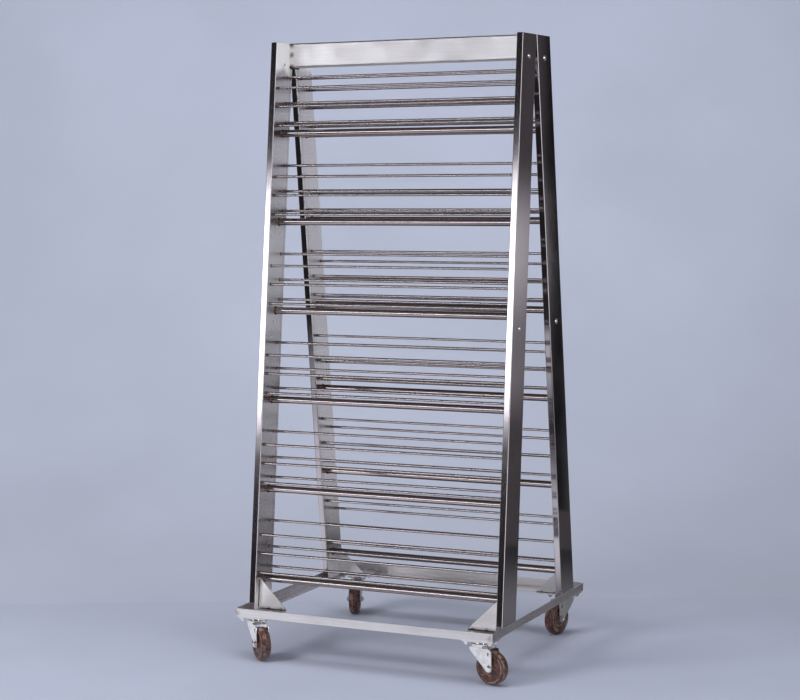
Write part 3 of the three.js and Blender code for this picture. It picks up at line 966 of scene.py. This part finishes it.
def caster_axle(name, place, trail, radius):
    """Axle bolt with a washer and a nut at each side."""
    skin = FORK_OUTER + GAP
    washer = 1.4
    bolt = [(0, -skin - 1), (5.0, -skin - 1), (5.0, skin + 8.6), (4.4, skin + 9), (0, skin + 9)]
    shapes = [
        solid_lathe(bolt, 24),
        disc(10.2, -skin - washer, -skin),
        disc(10.2, skin, skin + washer),
        hex_nut(AXLE_NUT_RADIUS, -skin - washer - 4.5, -skin - washer),
        hex_nut(AXLE_NUT_RADIUS, skin + washer, skin + washer + 5.5),
    ]
    turn = axle_frame(trail, radius)
    shape = merged(*[moved(shape, turn) for shape in shapes])
    make("caster_axle_bolt_" + name, moved(shape, place), [BOLT_STEEL],
         ["caster_axle_" + name], "fork_" + name)


def caster_wheel(name, place, trail, radius):
    """Moulded wheel: rounded tread, raised rim, shallow dished web with turned rings, and a hub."""
    side = [(5.4, 16.4), (11.0, 16.4), (12.4, 15.6), (13.2, 12.6), (15.0, 11.6), (22.0, 11.4),
            (22.8, 12.1), (23.8, 12.1), (24.6, 11.4), (33.6, 11.8), (36.0, 13.8), (38.5, 14.8),
            (radius - 8, WHEEL_HALF_WIDTH), (radius - 5, 14.4), (radius - 2.4, 12.6),
            (radius - 0.7, 9.4), (radius, 5.0)]
    profile = [(r, -h) for r, h in side] + [(r, h) for r, h in reversed(side)]
    turn = axle_frame(trail, radius)
    make("caster_wheel_tread_" + name, moved(moved(lathe(profile, 72), turn), place), [PHENOLIC],
         ["caster_wheel_" + name], "wheel_" + name, sharp=50, weighted=False,
         uv=wheel_uv(place @ turn))
    make("wheel_ring_" + name, moved(moved(wheel_rings(), turn), place), [ZINC],
         body="wheel_" + name, sharp=50)


def wheel_uv(hub_frame):
    """Distance from the wheel's axis and place along it, in metres: marks run round the wheel."""
    to_hub = hub_frame.inverted()

    def uv(point):
        hub_point = to_hub @ point
        return (math.hypot(hub_point.x, hub_point.y) * MM, hub_point.z * MM)

    return uv


def wheel_rings():
    """Steel sleeve ends that show at both sides of the wheel's hub."""
    shapes = []
    for sign in BOTH:
        low, high = sorted((sign * (WHEEL_HALF_WIDTH + 1.2), sign * (WHEEL_HALF_WIDTH + 1.9)))
        shapes.append(lathe(rectangle(5.5, low, 8.6, high), 36))
    return merged(*shapes)


def caster(name):
    """One caster, turned about its swivel to where its wheel's axle lies in the CAD frame."""
    roll = joint("roll_" + name)
    swivel = swivel_centre(name)
    hub = local(roll["pos_m"])
    angle = math.atan2(-roll["axis"][0], roll["axis"][1])
    trail = math.hypot(hub.x - swivel.x, hub.y - swivel.y)
    place = Matrix.Translation((swivel.x, swivel.y, 0)) @ Matrix.Rotation(angle, 4, "Z")
    caster_top(name)
    caster_fork(name, place, trail, hub.z)
    caster_axle(name, place, trail, hub.z)
    caster_wheel(name, place, trail, hub.z)


def corner(name, end, side):
    post(name, end, side)
    corner_plate(name, end, side)
    gusset(name, end, side)
    rail_weld(name, end, side)
    caster(name)


for side_word, side_sign in SIDES:
    for end_word, end_sign in ENDS:
        corner(f"{side_word}_{end_word}", end_sign, side_sign)
beam()
for side_word, side_sign in SIDES:
    long_rail(side_word, side_sign)
for end_word, end_sign in ENDS:
    side_rail(end_word, end_sign)
for side_word, side_sign in SIDES:
    for shelf_level in SHELF_LEVELS:
        shelf(side_word, side_sign, shelf_level)

# ---- Studio: floor, backdrop, light and camera, in metres ----
CAMERA_M = Vector((2531.4, -5374.9, 1471.6)) * MM + MIDDLE_M
CAMERA_YAW = math.radians(25.46)
CAMERA_PITCH = math.radians(-3.614)
CAMERA_ROLL = math.radians(-0.527)
CAMERA_LENS = 86.94
CAMERA_SENSOR = 36.0
CAMERA_SHIFT = (-0.0036, -0.0715)
FLOOR_HALF_M = 14.0
FLOOR_LIT_M = 1.8
FLOOR_GONE_M = 3.6
SWEEP_START_M = 6.55
SWEEP_RADIUS_M = 2.4
SWEEP_STEPS = 16
BACKDROP_TALL_M = 7.0
BACKDROP_HALF_M = 8.0
BACKDROP_FULL_M = 2.1
BACKDROP_GONE_M = 3.3


def add_camera():
    data = bpy.data.cameras.new("camera")
    data.lens = CAMERA_LENS
    data.sensor_width = CAMERA_SENSOR
    data.shift_x, data.shift_y = CAMERA_SHIFT
    camera = bpy.data.objects.new("camera", data)
    yaw = Matrix.Rotation(CAMERA_YAW, 4, "Z")
    pitch = Matrix.Rotation(math.pi / 2 + CAMERA_PITCH, 4, "X")
    roll = Matrix.Rotation(CAMERA_ROLL, 4, "Z")
    camera.matrix_world = Matrix.Translation(CAMERA_M) @ yaw @ pitch @ roll
    link(camera)
    scene.camera = camera


def paper_material(name, color, clear_part):
    """Matte studio paper with a faint mottle; clear_part(nodes, where) is the share of it that is
    clear, so that the backdrop can't be seen from behind and the floor has no edge."""
    material, n, shader = new_material(name)
    where = n.coordinate()
    shade = n.over_noise(n.noise(where, 1.3, 3.0), 0.96, 1.04)
    wire(n, shader, Base_Color=n.shaded(color, shade), Roughness=0.85)
    clear = n.add("BsdfTransparent").outputs[0]
    inputs = {0: clear_part(n, where), 1: shader.outputs[0], 2: clear}
    mixed = n.add("MixShader", inputs).outputs[0]
    n.put(n.tree.nodes["Material Output"].inputs["Surface"], mixed)
    return material


def far_floor(n, where):
    """Floor that the lamps don't reach, which fades into the background as the camera sees it."""
    distance = n.measure("LENGTH", where)
    return n.times(n.camera_ray(), n.ramp(distance, FLOOR_LIT_M, FLOOR_GONE_M))


def back_and_ends(across):
    """The backdrop's back, and its two ends beyond the camera's view, along the direction across."""

    def clear_part(n, where):
        sideways = n.measure("DOT_PRODUCT", where, across)
        ends = n.ramp(n.math("ABSOLUTE", sideways), BACKDROP_FULL_M, BACKDROP_GONE_M)
        back = n.add("NewGeometry").outputs["Backfacing"]
        return n.math("MAXIMUM", back, ends)

    return clear_part


def stage_mesh(name, points, faces, material, hidden_from):
    """A piece of the studio, which the named kinds of rays don't meet."""
    mesh = bpy.data.meshes.new(name)
    mesh.from_pydata(points, [], faces)
    mesh.materials.append(material)
    mesh.shade_smooth()
    item = bpy.data.objects.new(name, mesh)
    link(item)
    for ray in hidden_from:
        setattr(item, "visible_" + ray, False)


def add_floor():
    corners = rectangle(-FLOOR_HALF_M, -FLOOR_HALF_M, FLOOR_HALF_M, FLOOR_HALF_M)
    paper = paper_material("floor_paper", rgb(0.39, 0.42, 0.53), far_floor)
    stage_mesh("floor", [(x, y, -0.0005) for x, y in corners], [[0, 1, 2, 3]], paper, ("glossy",))


def add_backdrop():
    """A paper sweep behind the rack, square to the camera's view, that rises from the floor."""
    away = Vector((-math.sin(CAMERA_YAW), math.cos(CAMERA_YAW), 0))
    across = Vector((away.y, -away.x, 0))
    foot = Vector((CAMERA_M.x, CAMERA_M.y, 0))
    profile = [(SWEEP_START_M, 0.0)]
    for k in range(1, SWEEP_STEPS + 1):
        turn = math.pi / 2 * k / SWEEP_STEPS
        distance = SWEEP_START_M + SWEEP_RADIUS_M * math.sin(turn)
        profile.append((distance, SWEEP_RADIUS_M * (1 - math.cos(turn))))
    profile.append((SWEEP_START_M + SWEEP_RADIUS_M, BACKDROP_TALL_M))
    points, faces = [], []
    for distance, height in profile:
        for sign in BOTH:
            ground = foot + away * distance + across * sign * BACKDROP_HALF_M
            points.append((ground.x, ground.y, height))
    for a in range(0, 2 * len(profile) - 2, 2):
        faces.append([a, a + 1, a + 3, a + 2])
    paper = paper_material("backdrop_paper", rgb(0.40, 0.43, 0.53), back_and_ends(across))
    stage_mesh("backdrop", points, faces, paper, ("glossy", "diffuse", "shadow"))


# ---- Glowing cards that only the steel sees ----
CARD_HIDDEN_FROM = ("camera", "diffuse", "shadow")


def glow(n, shader, color, strength):
    """Turns a surface into one that only shines."""
    wire(n, shader, Base_Color=rgb(0, 0, 0), Roughness=1.0, Specular_IOR_Level=0.0,
         Emission_Color=color, Emission_Strength=strength)


def add_floor_card():
    """Lit paper round the rack's front and left: dim behind and to the right."""
    material, n, shader = new_material("floor_card")
    x, y, _ = n.split(n.coordinate())
    front = n.times(n.ramp(y, -0.05, -0.4), n.ramp(y, -1.5, -0.65))
    front = n.times(front, n.ramp(x, -1.2, -0.5, 0.35, 1.0))
    left = n.times(n.ramp(x, -0.35, -0.7), n.ramp(x, -2.2, -1.4))
    bright = n.math("MAXIMUM", front, left)
    near = n.times(n.ramp(y, -1.7, -1.2), n.ramp(x, 1.45, 0.9))
    near = n.times(near, n.ramp(y, 1.55, 0.6))
    strength = n.math("MULTIPLY_ADD", bright, 0.58, n.math("MULTIPLY_ADD", near, 0.13, 0.035))
    glow(n, shader, rgb(0.95, 0.96, 1.04), strength)
    corners = [(x, y, -0.001) for x, y in rectangle(-2.6, -3.0, 1.6, 1.6)]
    stage_mesh("floor_card", corners, [[0, 1, 2, 3]], material, CARD_HIDDEN_FROM)


def add_back_card():
    """The lit paper behind the rack's left part."""
    material, n, shader = new_material("back_card")
    where = n.coordinate()
    x, _, z = n.split(where)
    inside = n.times(n.ramp(x, 1.25, 0.95), n.ramp(z, 2.6, 1.9))
    lit = n.times(inside, n.ramp(n.noise(where, 1.8, 2.0), 0.3, 0.7, 0.42, 0.72))
    glow(n, shader, rgb(0.93, 0.945, 1.04), lit)
    corners = [(x, 2.4, z) for x, z in rectangle(-1.8, 0.0, 1.3, 2.7)]
    stage_mesh("back_card", corners, [[0, 1, 2, 3]], material, CARD_HIDDEN_FROM)


# ---- Lamps, and panels of light in the world ----
# Name, place, target, width and height in metres, watts and colour.
LAMPS = (
    ("soft_key", (-2.4, -3.4, 2.9), (0, 0, 0.7), (1.8, 1.4), 135, (1.0, 0.99, 0.98)),
    ("soft_top", (0.4, -0.2, 4.2), (0.2, 0, 0.5), (4.2, 4.2), 150, (0.95, 0.97, 1.0)),
)


def add_area_light(name, place, target, size, power, color):
    data = bpy.data.lights.new(name, "AREA")
    data.shape = "RECTANGLE"
    data.size, data.size_y = size
    data.energy = power
    data.color = color
    lamp = bpy.data.objects.new(name, data)
    lamp.location = place
    lamp.rotation_euler = (Vector(target) - Vector(place)).to_track_quat("-Z", "Y").to_euler()
    lamp.visible_glossy = False
    lamp.visible_camera = False
    link(lamp)


# Panels of light round the rack, as the steel sees them: centre and half width of azimuth (0 towards
# the front, 90 towards the right), centre and half height of elevation, softness of the edge, all in
# degrees, then colour and strength. The key panel is tilted: it climbs towards the right.
KEY_TILT = 0.12
PANELS = (
    ("key", -22, 15, 7.8, 2.95, 3, (0.97, 0.97, 1.02), 5.4),
    ("strip_back_right", 157.5, 0.95, -2.3, 1.5, 2.6, (0.97, 0.95, 1.0), 0.46),
    ("strip_back_right_low", 157.5, 0.95, -4, 2.9, 2, (0.97, 0.95, 1.0), 0.20),
    ("wall_back_right", 128, 27, -4, 15, 4, (0.95, 0.93, 1.02), 0.42),
    ("back_right_dim", 166, 18, 0, 24, 4, (1.0, 0.93, 0.99), 0.045),
    ("ceiling_front", -45, 75, 43, 17, 6, (1.0, 0.93, 0.95), 0.10),
    ("paper_back_left", -158, 24, 12, 22, 8, (0.86, 0.90, 1.0), 0.55),
    ("right_box", 72, 20, 26, 12, 6, (1.0, 0.99, 0.98), 2.0),
    ("right_window", 62, 9, 2, 16, 3, (1.0, 0.99, 1.0), 3.5),
    ("left_wall", -95, 28, 12, 16, 10, (0.88, 0.92, 1.0), 0.30),
    ("right_wall", 86, 15, -2, 20, 8, (0.95, 0.95, 1.0), 0.50),
    ("front_wall", 8, 12, -2, 14, 8, (0.95, 0.95, 1.0), 0.20),
    ("overhead", 0, 181, 78, 15, 8, (1.0, 0.92, 0.95), 0.07),
)
AMBIENT = (0.020, 0.018, 0.019)
BACKGROUND_LOW = rgb(0.40, 0.43, 0.52)
BACKGROUND_HIGH = rgb(0.52, 0.55, 0.64)


def panel_light(n, azimuth, elevation, panel):
    """The light of one panel in a direction given by its azimuth and elevation."""
    name, centre_azimuth, half_width, centre_elevation, half_height, soft, color, strength = panel
    turned = n.math("SUBTRACT", azimuth, centre_azimuth)
    aside = n.math("ABSOLUTE", turned)
    aside = n.math("MINIMUM", aside, n.math("SUBTRACT", 360.0, aside))
    tilt = KEY_TILT if name == "key" else 0.0
    centre = n.math("MULTIPLY_ADD", turned, tilt, centre_elevation)
    rise = n.math("ABSOLUTE", n.math("SUBTRACT", elevation, centre))
    across = n.ramp(aside, half_width + soft / 2, half_width - soft / 2)
    upward = n.ramp(rise, half_height + soft / 2, half_height - soft / 2)
    inputs = {0: Vector(color) * strength, "Scale": n.times(across, upward)}
    return n.add("VectorMath", inputs, operation="SCALE").outputs[0]


def add_world():
    world = bpy.data.worlds.new("studio")
    world.use_nodes = True
    scene.world = world
    n = Nodes(world.node_tree)
    split = n.split(n.coordinate("Generated"))
    azimuth = n.math("DEGREES", n.math("ARCTAN2", split[0], n.times(split[1], -1.0)))
    elevation = n.math("DEGREES", n.math("ARCSINE", split[2]))
    total = n.add("CombineXYZ", {0: AMBIENT[0], 1: AMBIENT[1], 2: AMBIENT[2]}).outputs[0]
    for panel in PANELS:
        inputs = {0: total, 1: panel_light(n, azimuth, elevation, panel)}
        total = n.add("VectorMath", inputs, operation="ADD").outputs[0]
    seen = n.mix(n.ramp(elevation, -10.0, 40.0), BACKGROUND_LOW, BACKGROUND_HIGH)
    background = world.node_tree.nodes["Background"]
    n.put(background.inputs["Color"], n.mix(n.camera_ray(), total, seen))
    n.put(background.inputs["Strength"], 1.0)


add_camera()
add_floor()
add_floor_card()
add_back_card()
add_backdrop()
add_world()
for lamp in LAMPS:
    add_area_light(*lamp)
scene.view_settings.view_transform = "Standard"
